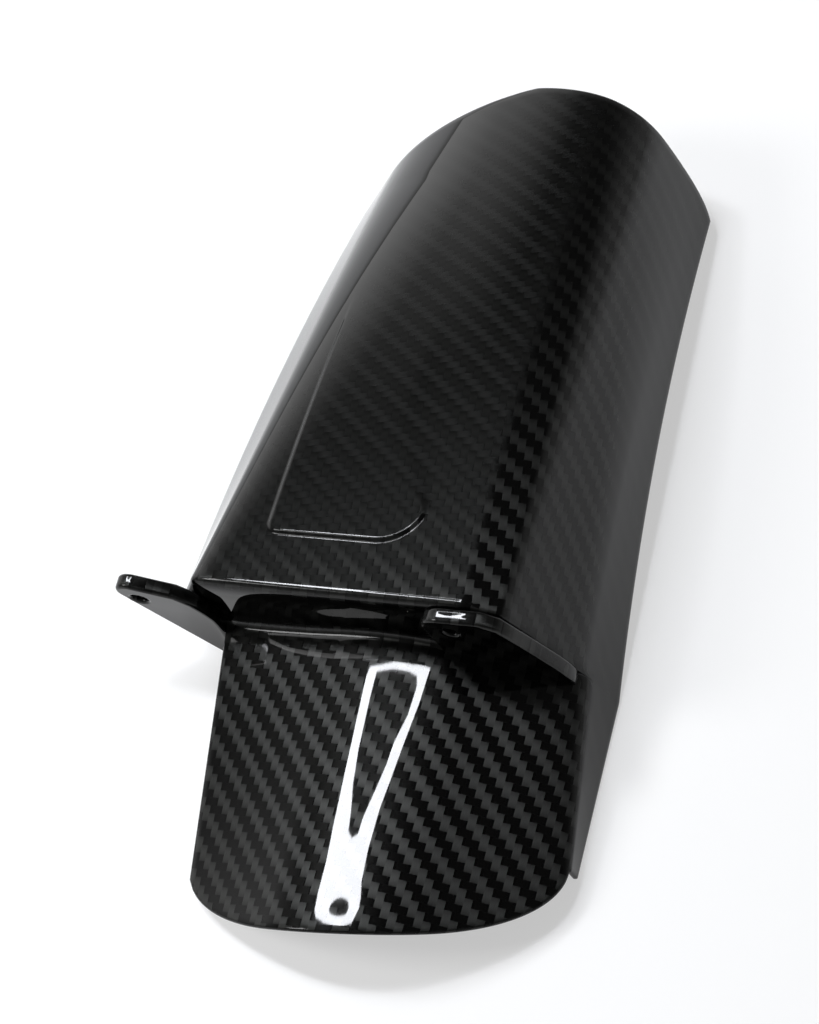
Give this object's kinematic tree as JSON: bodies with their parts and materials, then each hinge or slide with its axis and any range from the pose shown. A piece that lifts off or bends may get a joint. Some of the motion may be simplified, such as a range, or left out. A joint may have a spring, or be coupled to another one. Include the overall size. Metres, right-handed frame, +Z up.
{
  "type": "motorcycle rear fender",
  "caption": "One-piece glossy woven-fibre hugger fender: raised arched body with a rounded tail, lower splash tongue, step wall and bolt ears.",
  "frame": {"origin": "on the ground under the middle of the part, which stands on its lower edges", "axes": "+X to the side with the flange, +Y from the splash tongue back to the rounded tail, +Z up"},
  "size_m": [0.1844, 0.3718, 0.0774],
  "materials": {
    "woven_clearcoat": "gloss"
  },
  "bodies": {
    "root": {"fender": "woven_clearcoat"}
  },
  "joints": []
}
